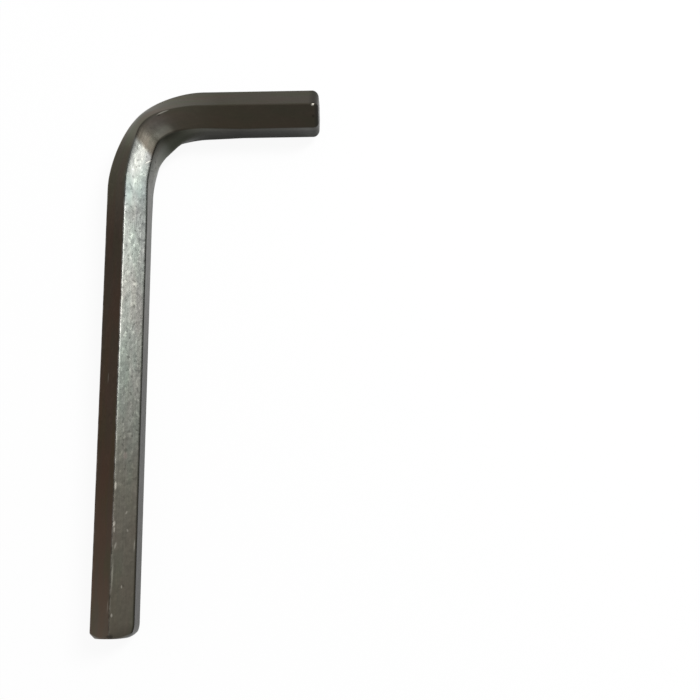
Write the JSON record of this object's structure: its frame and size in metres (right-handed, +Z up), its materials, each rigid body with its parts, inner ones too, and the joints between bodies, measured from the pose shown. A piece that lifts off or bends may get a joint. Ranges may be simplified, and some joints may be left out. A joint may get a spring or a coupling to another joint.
{
  "type": "hex key",
  "caption": "L-shaped hexagon key bent from one steel bar, with chamfered ends on a long and a short arm.",
  "frame": {"origin": "on the bench, below the middle of the key's box", "axes": "+Z up from the bench, the long arm runs along -Y and the short arm along +X"},
  "size_m": [0.0414, 0.105, 0.0092],
  "materials": {
    "black_oxide_steel": "oiled black oxide with brown patina, worn pale along the edges, fine draw lines and speckle"
  },
  "bodies": {
    "root": {"hex_key": "black_oxide_steel"}
  },
  "joints": []
}
